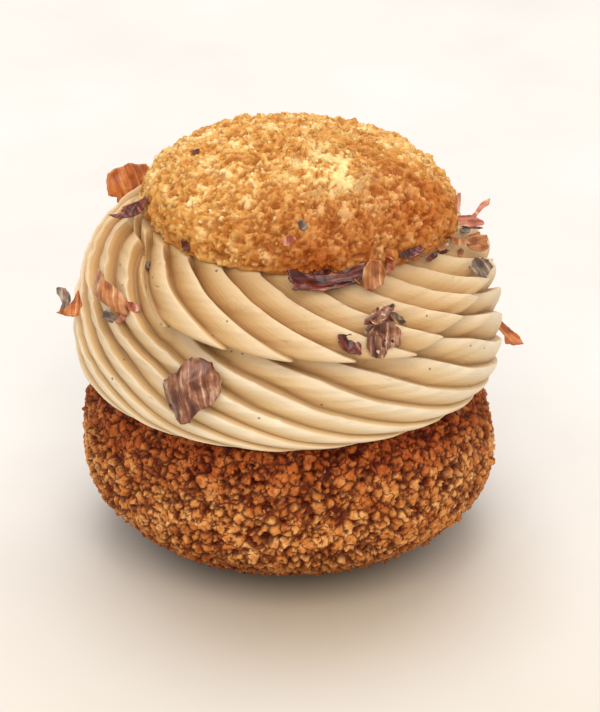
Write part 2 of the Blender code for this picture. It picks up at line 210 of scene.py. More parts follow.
# The edge is thin skin; at the front left the crumbs start higher and leave it bare.
bare = 0.12 + 0.6 * np.exp(-((turned - 252) / 16) ** 2)
point_values(lid, "skin", 0.3 + 0.7 * smooth(0, 1, (heights - 0.3 * bare) / bare))
point_values(lid, "cut", 1 - smooth(0, 1, (heights - 0.6 * bare) / (0.7 * bare)))
print("lid form:", len(lid.data.vertices), "points")

# %% [markdown]
# ## The crackle crust
# A sweet dough disc lies on each puff in the oven. As the puff swells, the disc tears into blocks
# of one to three millimetres with dark gaps between them. A Voronoi pattern has just such cells:
# its distance to the cell's edge opens the gaps, and a random value for each cell lifts one block
# more than its neighbour. A smaller pattern and noise break the tops into crumbs and pits. The tree
# keeps how low each point lies and the block's own value as attributes, for the finish to colour;
# the low places get a painted shade.

# %% A node tree that tears a surface into crumbly blocks


def crust_tree(name, finish):
    tree = bpy.data.node_groups.new(name, "GeometryNodeTree")
    node = partial(add, tree)
    sockets = {}
    tree.interface.new_socket("Geometry", in_out="INPUT", socket_type="NodeSocketGeometry")
    for label in ("Block size mm", "Gap depth mm", "Gap width", "Crumb size mm", "Crumb height mm",
                  "Waver mm", "Swell mm", "Lump mm", "Pit depth mm", "Loose crumbs per sq mm",
                  "Loose crumb size mm", "Seed"):
        sockets[label] = tree.interface.new_socket(label, in_out="INPUT", socket_type="NodeSocketFloat")
    tree.interface.new_socket("Geometry", in_out="OUTPUT", socket_type="NodeSocketGeometry")
    given = node("NodeGroupInput", out=None)

    # Places in millimetres, moved by the seed, and wavered so that the cracks run crooked.
    place = node("VectorMath SCALE", {0: node("GeometryNodeInputPosition"), "Scale": 1000.0})
    shifted = node("VectorMath ADD", (place, given.outputs["Seed"]))
    waver = node("TexNoise", {"Vector": shifted, "Scale": 0.95, "Detail": 4.0, "Roughness": 0.65},
                 out="Color")
    waver = node("VectorMath SUBTRACT", (waver, (0.5, 0.5, 0.5)))
    waver = node("VectorMath SCALE", {0: waver, "Scale": given.outputs["Waver mm"]})
    torn = node("VectorMath ADD", (shifted, waver))
    # Cells for the blocks and the crumbs; slow noises say where it is open, swollen or pitted.
    block_scale = node("Math DIVIDE", (1.0, given.outputs["Block size mm"]))
    crumb_scale = node("Math DIVIDE", (1.0, given.outputs["Crumb size mm"]))
    edge = node("TexVoronoi DISTANCE_TO_EDGE", {"Vector": torn, "Scale": block_scale}, out="Distance")
    cell = node("TexVoronoi", {"Vector": torn, "Scale": block_scale}, out="Color")
    lift = node("FunctionNodeSeparateColor", {0: cell}, out=None)
    small = node("TexVoronoi", {"Vector": torn, "Scale": crumb_scale}, out="Distance")
    grain = node("TexNoise", {"Vector": shifted, "Scale": 1.5, "Detail": 3.0})
    swell = node("TexNoise", {"Vector": shifted, "Scale": 0.19, "Detail": 2.0})
    region = node("TexNoise", {"Vector": shifted, "Scale": 0.24, "Detail": 3.0})
    lump = node("TexNoise", {"Vector": shifted, "Scale": 0.36, "Detail": 2.0})
    pit = node("TexNoise", {"Vector": shifted, "Scale": 0.85, "Detail": 3.0, "Roughness": 0.6})

    # Blocks stand up between their gaps, some higher than others, and a few have lost their top.
    block = node("MapRange SMOOTHSTEP", (edge, 0.0, given.outputs["Gap width"]))
    open_gap = node("Math MULTIPLY_ADD", (node("MapRange SMOOTHSTEP", (region, 0.38, 0.6)), 0.85, 0.15))
    torn_depth = node("Math MULTIPLY", (given.outputs["Gap depth mm"], open_gap))
    lost = node("Math MULTIPLY_ADD",
                (node("MapRange SMOOTHSTEP", (lift.outputs[1], 0.03, 0.10)), 0.75, 0.25))
    raised = node("Math MULTIPLY", (node("Math MULTIPLY_ADD", (lift.outputs[0], 0.7, 0.55)), lost))
    height = node("Math MULTIPLY", (node("Math MULTIPLY", (block, raised)), torn_depth))
    height = node("Math SUBTRACT", (height, node("Math MULTIPLY", (torn_depth, 0.6))))
    # Crumbs, a fine grain and pits break up the tops of the blocks.
    crumb = node("MapRange SMOOTHSTEP", (small, 0.8, 0.35))
    height = node("Math MULTIPLY_ADD", (crumb, given.outputs["Crumb height mm"], height))
    height = node("Math MULTIPLY_ADD", (node("Math SUBTRACT", (grain, 0.5)), 0.35, height))
    pit = node("Math MULTIPLY", (node("MapRange SMOOTHSTEP", (pit, 0.48, 0.36)), open_gap))
    height = node("Math SUBTRACT", (height, node("Math MULTIPLY", (pit, given.outputs["Pit depth mm"]))))
    # How low a point lies, for the finish's painted shade, is read before the slow swells and lumps
    #     # come in, which cast no shade.
    low = node("MapRange SMOOTHSTEP",
               (height, node("Math MULTIPLY", (torn_depth, 0.4)),
                node("Math MULTIPLY", (torn_depth, -0.5))))
    height = node("Math MULTIPLY_ADD",
                  (node("Math SUBTRACT", (swell, 0.5)), given.outputs["Swell mm"], height))
    height = node("Math MULTIPLY_ADD",
                  (node("Math SUBTRACT", (lump, 0.5)), given.outputs["Lump mm"], height))
    skin = node("GeometryNodeInputNamedAttribute", {"Name": "skin"}, data_type="FLOAT")
    height = node("Math MULTIPLY", (node("Math MULTIPLY", (height, skin)), MM))

    # What the finish reads is stored on the points, and then they move along their normals.
    shape = given.outputs["Geometry"]
    for label, value in (("low", low), ("openness", open_gap), ("block_tone", lift.outputs[2]),
                         ("loose", 0.0)):
        shape = node("GeometryNodeStoreNamedAttribute",
                     {"Geometry": shape, "Name": label, "Value": value}, data_type="FLOAT",
                     domain="POINT")
    shape = node("GeometryNodeStoreNamedAttribute", {"Geometry": shape, "Name": "torn", "Value": torn},
                 data_type="FLOAT_VECTOR", domain="POINT")
    offset = node("VectorMath SCALE", {0: node("GeometryNodeInputNormal"), "Scale": height})
    shape = node("GeometryNodeSetPosition", {"Geometry": shape, "Offset": offset})

    # Loose crumbs are small rocks of random size and turn, strewn only where there is crust.
    per_metre = node("Math MULTIPLY", (given.outputs["Loose crumbs per sq mm"], 1e6))
    density = node("Math MULTIPLY", (per_metre, node("MapRange SMOOTHSTEP", (skin, 0.6, 1.0))))
    spots = node("GeometryNodeDistributePointsOnFaces", {"Mesh": shape, "Density": density, "Seed": 3})
    rock = node("GeometryNodeMeshIcoSphere", {"Radius": 1.0, "Subdivisions": 1})
    size = node("Math MULTIPLY", (given.outputs["Loose crumb size mm"], MM * 0.5))
    squash = node("FunctionNodeRandomValue", {0: (0.45, 0.45, 0.35), 1: (1.15, 1.0, 0.8)},
                  data_type="FLOAT_VECTOR")
    squash = node("VectorMath SCALE", {0: squash, "Scale": size})
    turn = node("FunctionNodeRandomValue", {0: (0, 0, 0), 1: (6.3, 6.3, 6.3), "Seed": 8},
                data_type="FLOAT_VECTOR")
    crumbs = node("GeometryNodeInstanceOnPoints",
                  {"Points": spots, "Instance": rock, "Rotation": turn, "Scale": squash})
    own = node("FunctionNodeRandomValue", {2: 0.35, 3: 1.0, "Seed": 5}, out=1, data_type="FLOAT")
    for label, value in (("low", 0.0), ("block_tone", own), ("loose", 1.0)):
        crumbs = node("GeometryNodeStoreNamedAttribute",
                      {"Geometry": crumbs, "Name": label, "Value": value}, data_type="FLOAT",
                      domain="INSTANCE")
    crumbs = node("GeometryNodeRealizeInstances", {"Geometry": crumbs})
    both = node("GeometryNodeJoinGeometry", out=None)
    tree.links.new(crumbs, both.inputs[0])
    tree.links.new(shape, both.inputs[0])
    done = node("GeometryNodeSetMaterial", {"Geometry": both.outputs[0], "Material": finish})
    node("NodeGroupOutput", {0: done}, out=None)
    return tree, sockets


def run_tree(obj, tree, sockets, values):
    """Applies the tree with these sizes and keeps the result as a plain mesh."""
    mod = obj.modifiers.new("crust", "NODES")
    mod.node_group = tree
    for label, value in values.items():
        mod[sockets[label].identifier] = float(value)
    keep_result(obj)
    print(obj.name, "has", len(obj.data.polygons), "faces")


# %% [markdown]
# ## Baked dough finishes
# Baked sweet dough is matt and crumbly: its tops are tan to orange brown, its torn gaps are dark
# because they hold caramelised sugar, with a painted shade on top of that. The lid is the paler,
# golden end of the same bake. Each finish mixes colours by the block's own value and darkens them
# by the gap with that painted shade, and fine noise gives the floury grain, from 0.7 of a
# millimetre down.

# %% Two crust materials from one recipe


def new_finish(name):
    mat = bpy.data.materials.new(name)
    mat.use_nodes = True
    tree = mat.node_tree
    tree.nodes.clear()
    shader = add(tree, "BsdfPrincipled", out=None)
    add(tree, "OutputMaterial", {"Surface": shader.outputs[0]}, out=None)
    return mat, tree, shader


PATCHES, GRAIN = 130.0, 1400.0     # noise cells per metre: patches of 8 mm, grain of 0.7 mm and finer


def crust_finish(name, block_mm, crumb_mm, gap_width, darks, tones, gap_sugar_and_shade_colour, cut_colour, roughness):
    """darks: how much painted shade darkens the torn lines, the hollows between crumbs and low places."""
    line_dark, hollow_dark, low_dark = darks
    mat, tree, shader = new_finish(name)
    node = partial(add, tree)

    place = node("TexCoord", out="Object")
    torn = node("Attribute", out="Vector", attribute_name="torn")
    patch = node("TexNoise", {"Vector": place, "Scale": PATCHES, "Detail": 4.0})
    fine = node("TexNoise", {"Vector": place, "Scale": GRAIN, "Detail": 4.0, "Roughness": 0.6})
    edge = node("TexVoronoi DISTANCE_TO_EDGE", {"Vector": torn, "Scale": 1 / block_mm}, out="Distance")
    crumb = node("TexVoronoi", {"Vector": torn, "Scale": 1 / crumb_mm}, out=None)
    crumb_tone = node("SeparateColor", (crumb.outputs["Color"],))
    # Dark sugar and painted shade fill torn lines, hollows between crumbs and low places; loose
    #     # crumbs get none.
    width = node("Math MULTIPLY", (node("Attribute", out="Fac", attribute_name="openness"), gap_width))
    line = node("MapRange SMOOTHSTEP",
                {"Value": edge, "From Max": width, "To Min": line_dark, "To Max": 0.0})
    hollow = node("MapRange SMOOTHSTEP",
                  {"Value": crumb.outputs["Distance"], "From Min": 0.5, "From Max": 0.85,
                   "To Max": hollow_dark})
    gap = node("Math MAXIMUM", (line, hollow))
    gap = node("Math MAXIMUM",
               (gap,
                node("Math MULTIPLY", (node("Attribute", out="Fac", attribute_name="low"), low_dark))))
    gap = node("Math MULTIPLY",
               (gap, node("Math SUBTRACT", (1.0, node("Attribute", out="Fac", attribute_name="loose")))))
    # Its tone comes from the patch, the block's own value, the crumb's own value and the grain.
    mixed = node("Math MULTIPLY_ADD", (patch, 0.8, -0.53))
    mixed = node("Math MULTIPLY_ADD",
                 (node("Attribute", out="Fac", attribute_name="block_tone"), 0.34, mixed))
    mixed = node("Math MULTIPLY_ADD", (crumb_tone, 0.4, mixed))
    mixed = node("Math MULTIPLY_ADD", (fine, 0.5, mixed))
    body = node("ValToRGB", (mixed,), "Color", stops=tones)
    body = node("Mix", {0: gap, 6: body, 7: colour(gap_sugar_and_shade_colour)}, out=2, data_type="RGBA")
    body = node("Mix",
                {0: node("Attribute", out="Fac", attribute_name="cut"), 6: body, 7: colour(cut_colour)},
                out=2, data_type="RGBA")
    relief = node("Math MULTIPLY_ADD", (gap, -1.6, fine))
    grain = node("Bump", {"Strength": 0.7, "Distance": 0.00022, "Height": relief})
    set_shader(tree, shader, {"Base Color": body, "Normal": grain},
               {"Roughness": roughness, "IOR": 1.45, "Specular IOR Level": 0.15,
                "Subsurface Weight": 0.12, "Subsurface Radius": (1.0, 0.45, 0.2),
                "Subsurface Scale": 0.001})
    return mat, tree, shader


BASE_BLOCK, BASE_CRUMB = 1.75, 0.8
LID_BLOCK, LID_CRUMB = 2.5, 0.9
base_finish, base_tree, base_shader = crust_finish(
    "baked_brown_crackle", BASE_BLOCK, BASE_CRUMB, 0.3, (0.88, 0.3, 1.0),
    ((0.1, "#9b4c1c"), (0.35, "#c67535"), (0.6, "#de9650"), (0.9, "#f5be7a")), "#581a05", "#a66f3c", 0.5)
lid_finish, lid_tree, lid_shader = crust_finish(
    "baked_golden_crackle", LID_BLOCK, LID_CRUMB, 0.2, (0.15, 0.3, 0.75),
    ((0.1, "#b5702d"), (0.35, "#cd8f46"), (0.6, "#dfae63"), (0.9, "#f8dca2")), "#a65f24", "#d5a05a", 0.52)


def soft_ball(tree, centre, radius):
    """One at the centre, fading to nothing at the radius, in metres of the bun's own space."""
    place = add(tree, "TexCoord", out="Object")
    away = add(tree, "VectorMath DISTANCE", (place, centre), out="Value")
    return add(tree, "MapRange SMOOTHSTEP",
               {"Value": away, "From Max": radius, "To Min": 1.0, "To Max": 0.0})


def tint(tree, shader, amount, code, kind="MIX"):
    """Lays one more colour over what the shader shows so far."""
    before = shader.inputs["Base Color"].links[0].from_socket
    tree.links.new(add(tree, "Mix", {0: amount, 6: before, 7: colour(code)}, out=2, data_type="RGBA",
                       blend_type=kind), shader.inputs["Base Color"])


# The lid is darker towards its lower front and its front right.
darker_lower_front = soft_ball(lid_tree, (0.006, -0.026, 0.058), 0.022)
tint(lid_tree, lid_shader, add(lid_tree, "Math MULTIPLY", (darker_lower_front, 0.9)), "#c98a58", "MULTIPLY")
tint(lid_tree, lid_shader, soft_ball(lid_tree, (0.021, -0.012, 0.061), 0.019), "#d9a981", "MULTIPLY")
# Two spots on the top are paler: the crust's own pale flecks with a painted highlight on them.
place = add(lid_tree, "TexCoord", out="Object")
pale_flecks_and_glint = add(lid_tree, "TexNoise", {"Vector": place, "Scale": 420.0, "Detail": 2.0})
pale_flecks_and_glint = add(lid_tree, "MapRange", {"Value": pale_flecks_and_glint, "From Min": 0.46, "From Max": 0.56})
for spot, radius in (((0.006, -0.009, 0.0686), 0.010), ((0.011, 0.009, 0.0685), 0.006)):
    pale = soft_ball(lid_tree, spot, radius)
    tint(lid_tree, lid_shader, add(lid_tree, "Math MULTIPLY", (pale, pale_flecks_and_glint)), "#fbe9a8")

# The base is darker towards its foot, and a painted shade darkens it under the cream's overhang.
place = add(base_tree, "TexCoord", out="Object")
above = add(base_tree, "SeparateXYZ", (place,), out="Z")
for start, full, code in ((0.013, 0.002, "#8c5836"), (0.018, 0.028, "#cfa286")):
    part = add(base_tree, "MapRange SMOOTHSTEP", {"Value": above, "From Min": start, "From Max": full})
    tint(base_tree, base_shader, part, code, "MULTIPLY")

tree, sockets = crust_tree("torn crust of the base", base_finish)
run_tree(base, tree, sockets, {
    "Block size mm": BASE_BLOCK, "Gap depth mm": 0.9, "Gap width": 0.26, "Crumb size mm": BASE_CRUMB,
    "Crumb height mm": 0.28, "Waver mm": 1.9, "Swell mm": 0.6, "Lump mm": 0.5, "Pit depth mm": 0.8,
    "Loose crumbs per sq mm": 0.03, "Loose crumb size mm": 0.8, "Seed": 14.0})
tree, sockets = crust_tree("torn crust of the lid", lid_finish)
run_tree(lid, tree, sockets, {
    "Block size mm": LID_BLOCK, "Gap depth mm": 0.6, "Gap width": 0.42, "Crumb size mm": LID_CRUMB,
    "Crumb height mm": 0.5, "Waver mm": 2.2, "Swell mm": 0.3, "Lump mm": 2.8, "Pit depth mm": 0.5,
    "Loose crumbs per sq mm": 0.12, "Loose crumb size mm": 0.9, "Seed": 41.0})

# %% [markdown]
# The lid lies on the cream, leaning a little to the right. Its mesh is turned and moved as a
# whole, so the finished object itself stays at the origin.

# %% Put the lid in its place
TOP_LEAN = math.radians(2.6)
CREAM_TOP = 57.4
LID_SHIFT = 1.6
lid_height = CREAM_TOP + 0.1 - LID_SHIFT * math.tan(TOP_LEAN)
lid.data.transform(Matrix.Translation((LID_SHIFT * MM, 0, lid_height * MM))
                   @ Matrix.Rotation(TOP_LEAN, 4, "Y"))
print("lid top at", round(max(v.co.z for v in lid.data.vertices) / MM, 1), "mm")

# %% [markdown]
# ## Piped cream
# A star nozzle leaves a rope of cream with sharp grooves and rounded ridges, laid in two coils.
# Each coil is a grid whose columns run along the ridges: every column starts at its own angle and
# is twisted further round the lower it gets, so a crest stays a crest and a groove a clean line.
# Across one ridge the surface climbs a steep wall from the groove to a narrow crest, and falls
# slowly to the next groove. The crest leans over its wall, so the fold looks soft on one side and
# sharp on the other. The upper coil ends in a lip that hangs over the lower one.

# %% The shape of the two coils
PROFILE_Z = (30.4, 32.6, 37.5, 44.0, 50.0, 54.7, 57.4)
PROFILE_R = (33.0, 34.6, 35.3, 34.7, 32.8, 29.4, 25.0)
UPPER_TWIST = ((43.0, 55.0), (49.0, 35.0), (52.0, 24.0), (53.6, 18.0), (55.8, 9.5), (57.6, 0.0))
LOWER_TWIST = ((29.6, 92.0), (31.0, 74.0), (33.0, 60.0), (35.5, 48.5), (39.0, 34.0), (43.5, 19.0),
               (47.6, 1.5), (49.8, -5.0), (53.0, -13.0), (57.4, -24.0))
SEAM = ((-160, 50.8), (-134, 50.4), (-125, 49.9), (-118, 49.4), (-88, 47.3), (-70, 46.6), (-55, 45.8),
        (-50, 46.7), (-42, 47.9), (-34, 48.8), (-23, 49.9), (-12, 50.0), (60, 49.4), (110, 50.0), (150, 50.8),
        (200, 50.8))
UPPER_SHOWS = ((-160, 0), (-149.5, 0), (-147.5, 1), (70, 1), (130, 0), (200, 0))
RIDGE_DEPTH = 2.5
CREST_LEAN = 1.5       # degrees
LIP = ((-160, 2.1), (-78, 2.1), (-48, 1.5), (-22, 0.9), (20, 0.6), (60, 0.9), (110, 2.0), (200, 2.1))
TEETH = 0.35           # how much higher the lip's edge lies in a groove
UPPER_START, UPPER_AT = 254.2, 55.7     # angle of the first ridge, and the height where it has it
LOWER_START, LOWER_AT = 244.0, 44.0
UPPER_ROWS, LOWER_ROWS = 58, 122        # rings of points down each coil
LOWER_HIGH, LOWER_LOW = 56.6, 31.5      # first and last ring of the lower coil's side
WALL = 0.11            # share of a ridge that its steep wall takes


def read(table, x):
    xs, ys = zip(*table)
    return np.interp(x, xs, ys)


def rounded_profile():
    """The cream's outline with its corners smoothed, as heights and radii."""
    z = np.linspace(PROFILE_Z[0] - 3, PROFILE_Z[-1] + 3, 400)
    zs = np.concatenate([[PROFILE_Z[0] - 3], PROFILE_Z, [PROFILE_Z[-1] + 3]])
    rs = np.concatenate([[PROFILE_R[0] - 2.4], PROFILE_R, [PROFILE_R[-1] - 5.5]])
    r = np.interp(z, zs, rs)
    kernel = np.hanning(61)
    wide = np.pad(r, 30, mode="edge")
    return z, np.convolve(wide, kernel / kernel.sum(), mode="valid")


OUTLINE_Z, OUTLINE_R = rounded_profile()


def cream_radius(z):
    return np.interp(z, OUTLINE_Z, OUTLINE_R)


def around(angle):
    return (np.asarray(angle) + 160.0) % 360.0 - 160.0


def twist(z, table, reference):
    return read(table, z) - read(table, reference)


def upper_shows(angle, z):
    level = np.maximum(z, read(SEAM, around(angle)))
    return read(UPPER_SHOWS, around(angle - twist(level, UPPER_TWIST, UPPER_AT)))


def ridge_height(f, z):
    """Steep wall, narrow crest and a long flank; a little rounder low down."""
    rise = np.sin(math.pi / 2 * np.clip(f / WALL, 0, 1)) ** 0.85
    t = np.clip((f - WALL) / (1 - WALL), 0, 1)
    sharp = np.where(f < WALL, rise, 1 - 0.15 * t - 0.85 * t ** 2)
    even = np.sin(math.pi * np.clip(f, 0, 1) ** 0.7) ** 0.8
    mix = 0.3 * (1 - smooth(32, 38, z))
    return sharp * (1 - mix) + even * mix


print("cream is", cream_radius(37.5).round(1), "mm in radius at its widest")

# %% [markdown]
# A hand-piped ridge is never quite even. Its width changes a little along the way, small tears
# nick its crest, and tiny air bubbles leave pits. These are added as slow waves and as soft dents
# at seeded places, so that the same bun comes out each time.

# %% Grids for the coils
ACROSS = (1.0, 0.94, 0.87, 0.80, 0.72, 0.64, 0.56, 0.48, 0.40, 0.33, 0.27, 0.22, 0.18, 0.15, 0.125,
          0.105, 0.085, 0.06, 0.035, 0.015)


def ridge_columns(count, seed):
    """Start angle, place across its ridge, ridge number and size for every column."""
    rng = random.Random(seed)
    pitch = 360.0 / count
    bounds = [k * pitch + rng.uniform(-0.07, 0.07) * pitch for k in range(count)]
    bounds.append(bounds[0] + 360.0)
    rows = []
    for k in range(count):
        size = rng.uniform(0.85, 1.12)
        for v in ACROSS:
            start = bounds[k] + (1 - v) * (bounds[k + 1] - bounds[k])
            rows.append((start, 0.0 if v >= 1 else v, k, size))
    return np.array(rows).T


def waves(ridge, along, seed, length):
    """Slow uneven value between about -1 and 1 along each ridge."""
    rng = np.random.default_rng(seed)
    out = np.zeros(np.broadcast(ridge, along).shape)
    for k, weight in ((1.0, 0.55), (2.3, 0.3), (4.7, 0.2)):
        phase = rng.uniform(0, math.tau, 64)[ridge.astype(int) % 64]
        out += weight * np.sin(along * math.tau * k / length + phase)
    return out


def dents(points, normal, centres, radius, depth):
    """Pushes the surface in softly round each centre."""
    for c, rad, dep in zip(centres, radius, depth):
        d2 = ((points - c) ** 2).sum(-1)
        near = d2 < (3 * rad) ** 2
        points[near] -= normal[near] * (dep * np.exp(-d2[near] / (rad * rad)))[:, None]


def coil_points(columns, phase, table, reference, levels, offset, depth, seed, teeth=0.0):
    """Rings of points in millimetres; levels, offset and depth are functions of row and angle."""
    start, f, ridge, size = columns
    rows = len(levels)
    points, shade = [], []
    for row in range(rows):
        angle = phase + start
        # The twist hangs on the height and the height on the angle, so both are found in steps.
        for _ in range(5):
            z = levels[row](angle)
            angle = phase + start + twist(z, table, reference)
        z = levels[row](angle)
        slope = (cream_radius(z + 1.5) - cream_radius(z - 1.5)) / 3.0
        length = np.hypot(1, slope)
        # A ridge wavers every 11 mm, and its crest is ragged every 9 and 2 mm.
        wobble = waves(ridge, z, seed, 11.0)
        h = ridge_height(np.clip(f + 0.02 * wobble * np.sin(math.pi * f), 0, 1), z)
        deep = depth(z, row)
        ragged = 0.10 * waves(ridge, z, seed + 1, 9.0) + 0.035 * waves(ridge, z, seed + 2, 1.9)
        out = offset(angle, z, row) - deep * size * (1 - h) + deep * ragged * h
        angle = angle + CREST_LEAN * h * deep / RIDGE_DEPTH
        a = np.radians(angle)
        # Unevenness of the hand, slow round the whole swirl.
        slow = 0.30 * np.sin(2 * a + 0.7) + 0.22 * np.sin(5 * a + z * 0.12) + 0.10 * np.sin(9 * a - z * 0.3)
        rad = cream_radius(z) + (out + slow) / length
        x, y = rad * np.cos(a), rad * np.sin(a)
        zz = z - out * slope / length - math.tan(TOP_LEAN) * x * smooth(44, CREAM_TOP, z)
        zz = zz + teeth * (1 - h) * min(1.0, row / UPPER_ROWS) ** 4
        points.append(np.stack([x, y, zz], -1))
        shade.append(h)
    return np.array(points), np.array(shade)


def coil_object(name, points, shade, columns, pits, nicks, seed):
    rows, cols = points.shape[:2]
    flat = points.reshape(-1, 3).copy()
    # The way out from a point 44 mm up the axis, flattened, is near the way the surface faces.
    normal = flat * np.array([1, 1, 0.35])
    normal[:, 2] -= 0.35 * 44
    normal /= np.linalg.norm(normal, axis=1)[:, None]
    rng = np.random.default_rng(seed)
    low = rng.integers(int(rows * 0.1), int(rows * 0.85), pits)
    dents(flat, normal, points[low, rng.integers(0, cols, pits)], rng.uniform(0.16, 0.34, pits),
          rng.uniform(0.15, 0.4, pits))
    crest = np.where(np.abs(columns[1] - WALL) < 0.05)[0]
    row = rng.integers(int(rows * 0.08), int(rows * 0.9), nicks)
    dents(flat, normal, points[row, rng.choice(crest, nicks)], rng.uniform(0.3, 0.8, nicks),
          rng.uniform(0.08, 0.35, nicks))
    faces = [list(q) for q in ring_faces(rows, cols)[:, ::-1]]
    faces.append(list(range(cols)))
    faces.append([(rows - 1) * cols + j for j in range(cols)][::-1])
    obj = mesh_object(name, flat * MM, faces)
    # How far up its ridge each point lies, which the finish paints as shade in the grooves and highlight on
    # the crests.
    point_values(obj, "crest", shade.reshape(-1))
    uv = obj.data.uv_layers.new(name="along_ridge")
    across = np.tile(columns[2] + columns[1], rows)
    down = np.repeat(np.arange(rows) / rows, cols)
    loops = np.zeros(len(obj.data.loops), np.int32)
    obj.data.loops.foreach_get("vertex_index", loops)
    uv.data.foreach_set("uv", np.stack([across[loops], down[loops]], -1).reshape(-1).astype(np.float32))
    print(name, "has", len(faces), "faces")
    return obj


# %% [markdown]
# The upper coil runs from the flat under the lid to its lip, where a few last rings curl it under.
# Where it has not started yet, on the left, it is sunk into the lower coil, so that its first
# ridge comes out of the cream the way a rope of cream is laid down.

# %% Pipe the upper coil
upper_columns = ridge_columns(count=26, seed=3)


def upper_level(q, lift):
    return lambda angle: CREAM_TOP + (read(SEAM, around(angle)) - CREAM_TOP) * q + lift


# height over the edge, way out and share of the ridge's depth, for the rings that curl under
curl = ((0.0, 0.0, 1.0), (-0.28, -0.22, 0.95), (-0.42, -0.7, 0.85), (-0.3, -1.3, 0.7), (0.2, -2.2, 0.4),
        (1.0, -3.6, 0.1), (2.2, -6.0, 0.0))
levels = ([upper_level(i / UPPER_ROWS, 0.0) for i in range(UPPER_ROWS)]
          + [upper_level(1.0, lift) for lift, _, _ in curl])


def upper_offset(angle, z, row):
    q = min(1.0, row / UPPER_ROWS)
    shows = upper_shows(angle, z)
    tuck = curl[row - UPPER_ROWS][1] if row >= UPPER_ROWS else 0.0
    # It swells out to its lip, and lies 3 mm deep where it has not started.
    out = read(LIP, around(angle)) * smooth(0.2, 1.0, q) * shows
    return out - 3.0 * (1 - shows) * smooth(0, 0.25, q) + tuck


def upper_depth(z, row):
    fade = 1 - 0.4 * smooth(0.8, 1.0, min(1.0, row / UPPER_ROWS))
    return RIDGE_DEPTH * fade * (curl[row - UPPER_ROWS][2] if row >= UPPER_ROWS else 1.0)


points, shade = coil_points(upper_columns, UPPER_START, UPPER_TWIST, UPPER_AT, levels, upper_offset,
                            upper_depth, 7, TEETH)
# The first ring lies flat under the lid.
points[0, :, 2] = CREAM_TOP - math.tan(TOP_LEAN) * points[0, :, 0]
upper_coil = coil_object("cream_upper_coil", points, shade, upper_columns, pits=24, nicks=90, seed=5)

# %% [markdown]
# The lower coil is one swirl from just under the lid down to the base. Its ridges turn faster the
# lower they get, grow shallow and run out flat on the base. Near the seam it draws in, so that the
# upper coil covers it with a shaded fold.

# %% Pipe the lower coil
lower_columns = ridge_columns(count=22, seed=4)
# height, way out and share of the ridge's depth, for the rings that tuck its foot in
FOOT = ((30.9, -0.25, 0.8), (30.5, -0.7, 0.6), (30.2, -1.4, 0.4), (30.05, -3.0, 0.2))


def flat_level(height):
    return lambda angle: height + 0 * angle


levels = [flat_level(LOWER_HIGH + (LOWER_LOW - LOWER_HIGH) * (i / LOWER_ROWS))
          for i in range(LOWER_ROWS + 1)] + [flat_level(height) for height, _, _ in FOOT]


def lower_offset(angle, z, row):
    seam = read(SEAM, around(angle))
    # It draws in from 5 mm below the seam, and again at the seam, where it goes out of sight.
    sink = 2.2 * smooth(0, 1, (z - seam + 5.0) / 4.5) + 3.0 * smooth(0, 1, (z - seam + 0.5) / 2.3)
    tuck = FOOT[row - LOWER_ROWS - 1][1] if row > LOWER_ROWS else 0.0
    return -sink * upper_shows(angle, z) + tuck


def lower_depth(z, row):
    fade = FOOT[row - LOWER_ROWS - 1][2] if row > LOWER_ROWS else 1.0
    return RIDGE_DEPTH * (0.4 + 0.6 * smooth(32, 44, z)) * fade


points, shade = coil_points(lower_columns, LOWER_START, LOWER_TWIST, LOWER_AT, levels, lower_offset,
                            lower_depth, 17)
lower_coil = coil_object("cream_lower_coil", points, shade, lower_columns, pits=40, nicks=140, seed=6)

# %% [markdown]
# ## Praline cream finish
# Whipped praline cream is a soft, slightly glossy fat foam: light enters a millimetre or two and
# comes back warm, so its shade is never grey. Hence subsurface scattering and a low broad gloss.
# The colour carries painted light: a darker, warmer painted shade in the grooves, a painted
# highlight on the crests and a painted shade from the lid towards the top. The nozzle drags fine
# lines along the ridges, which a noise stretched along the ridge's own map draws, and ground nuts
# leave sparse dark specks of up to half a millimetre.

# %% Cream material
cream_finish, tree, shader = new_finish("whipped_praline_cream")
node = partial(add, tree)
place = node("TexCoord", out=None)
crest = node("Attribute", out="Fac", attribute_name="crest")
# From groove to crest, painted shade in the grooves and painted highlight on the crests;
# # then patches of a deeper cream, and painted shade from the lid towards the top.
body = node("ValToRGB", (crest,), "Color",
            stops=((0.0, "#b18a5c"), (0.3, "#d5b281"), (0.7, "#e5c99a"), (0.92, "#f0dfc0"),
                   (1.0, "#f8ebd2")))
patch = node("TexNoise", {"Vector": place.outputs["Object"], "Scale": 60.0, "Detail": 2.0})
body = node("Mix",
            {0: node("MapRange", {"Value": patch, "From Min": 0.35, "From Max": 0.7, "To Max": 0.35}),
             6: body, 7: colour("#dcbc8c")}, out=2, data_type="RGBA")
# Painted shade from the lid: the cream is darker towards its top.
height = node("SeparateXYZ", (place.outputs["Object"],), out="Z")
height = node("MapRange", {"Value": height, "From Min": 0.036, "From Max": 0.056})
body = node("Mix",
            {0: height, 6: body,
             7: node("Mix", {0: 1.0, 6: body, 7: colour("#e2d0b7")}, out=2, data_type="RGBA",
                     blend_type="MULTIPLY")}, out=2, data_type="RGBA")
# Specks of nut lie in three of ten cells of 2.4 mm, each within a tenth of a cell of its middle.
speck = node("TexVoronoi", {"Vector": place.outputs["Object"], "Scale": 420.0}, out=None)
dot = node("Math LESS_THAN", (speck.outputs["Distance"], 0.1))
rare = node("SeparateColor", (speck.outputs["Color"],))
rare = node("Math LESS_THAN", (rare, 0.3))
dot = node("Math MULTIPLY", (dot, rare))
body = node("Mix", {0: node("Math MULTIPLY", (dot, 0.75)), 6: body, 7: colour("#6b4426")}, out=2,
            data_type="RGBA")
